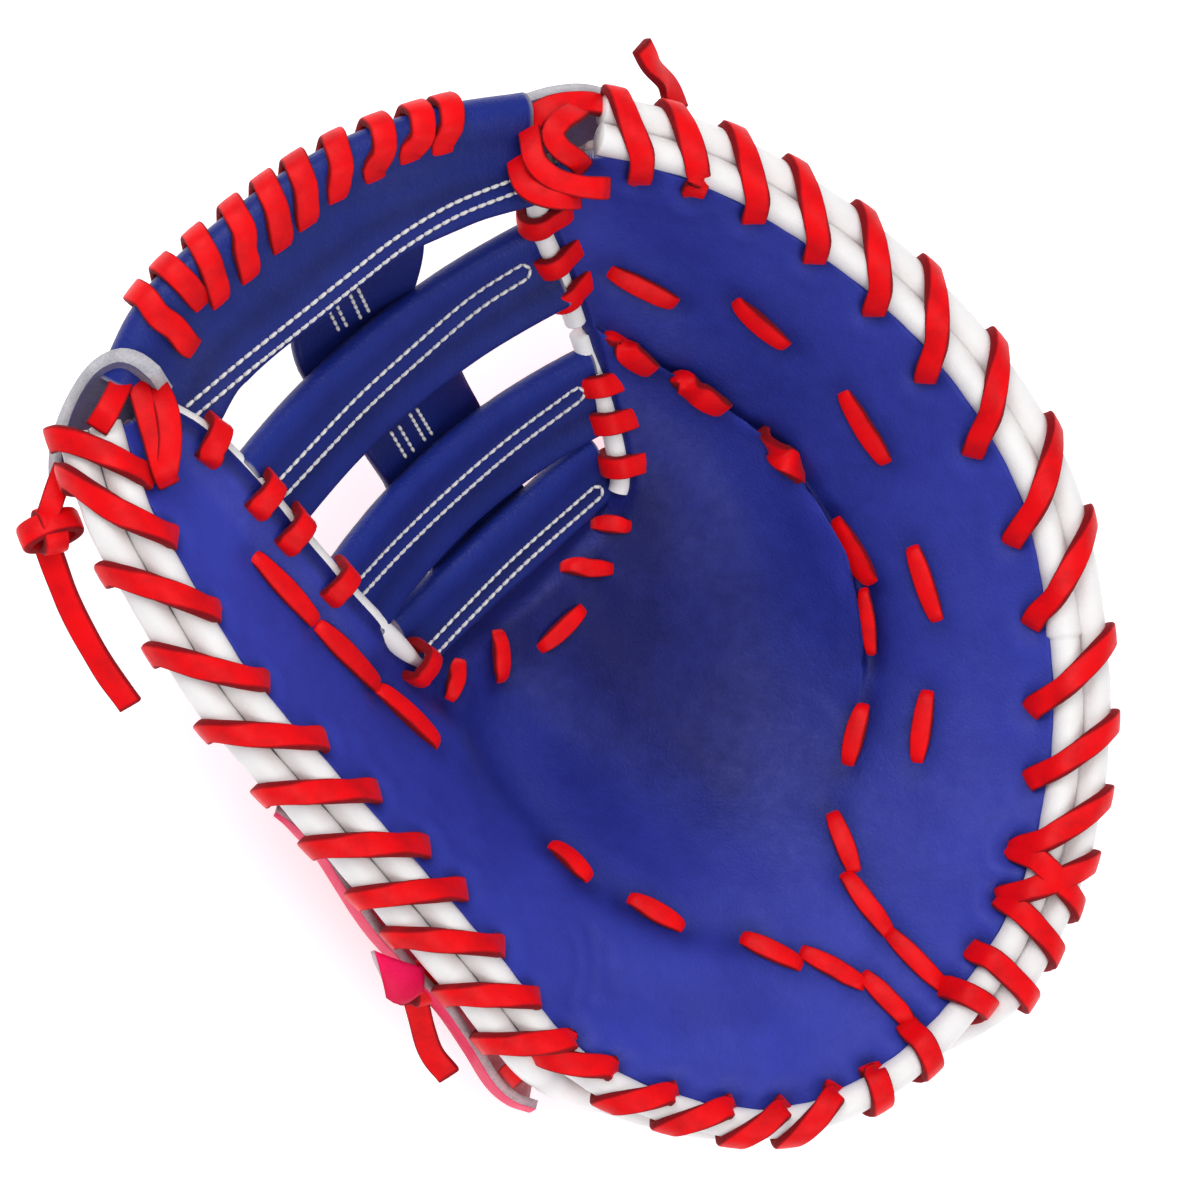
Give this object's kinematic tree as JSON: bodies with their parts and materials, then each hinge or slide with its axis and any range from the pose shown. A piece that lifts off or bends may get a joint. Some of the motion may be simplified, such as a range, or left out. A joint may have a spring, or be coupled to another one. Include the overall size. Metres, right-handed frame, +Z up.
{
  "type": "first baseman mitt",
  "caption": "Leather first baseman mitt for the left hand: deep pocket, rolled bindings, rim laces, barred web, wrist opening and strap, lying on its back.",
  "frame": {"origin": "on the surface that the mitt lies on, under the middle of its bounding box", "axes": "+Z up out of the pocket, -Y towards the heel and the wrist opening, -X the thumb side, +X the finger side, the web at -X +Y"},
  "size_m": [0.3018, 0.2896, 0.1283],
  "materials": {
    "palm_leather": "smooth dark blue leather with a soft sheen",
    "back_leather": "smooth hot pink-red leather",
    "binding_leather": "smooth off-white rolled leather",
    "lace_leather": "red rawhide lace, smooth face with fuzzy suede sides"
  },
  "bodies": {
    "root": {"palm_shell": "palm_leather", "back_shell": "back_leather", "palm_binding": "binding_leather", "back_binding": "binding_leather", "thumb_rim_lace": "lace_leather", "finger_rim_lace": "lace_leather", "thumb_binding": "binding_leather", "pleat_binding": "binding_leather", "finger_binding": "binding_leather", "web_top_band": "palm_leather", "web_bar_upper": "palm_leather", "web_bar_middle": "palm_leather", "web_bar_lower": "palm_leather", "web_tab_outer": "palm_leather", "web_tab_middle": "palm_leather", "web_tab_inner": "palm_leather", "wrist_strap": "back_leather", "thumb_knot": "lace_leather", "strap_knot": "lace_leather", "tip_tail": "lace_leather"}
  },
  "joints": []
}
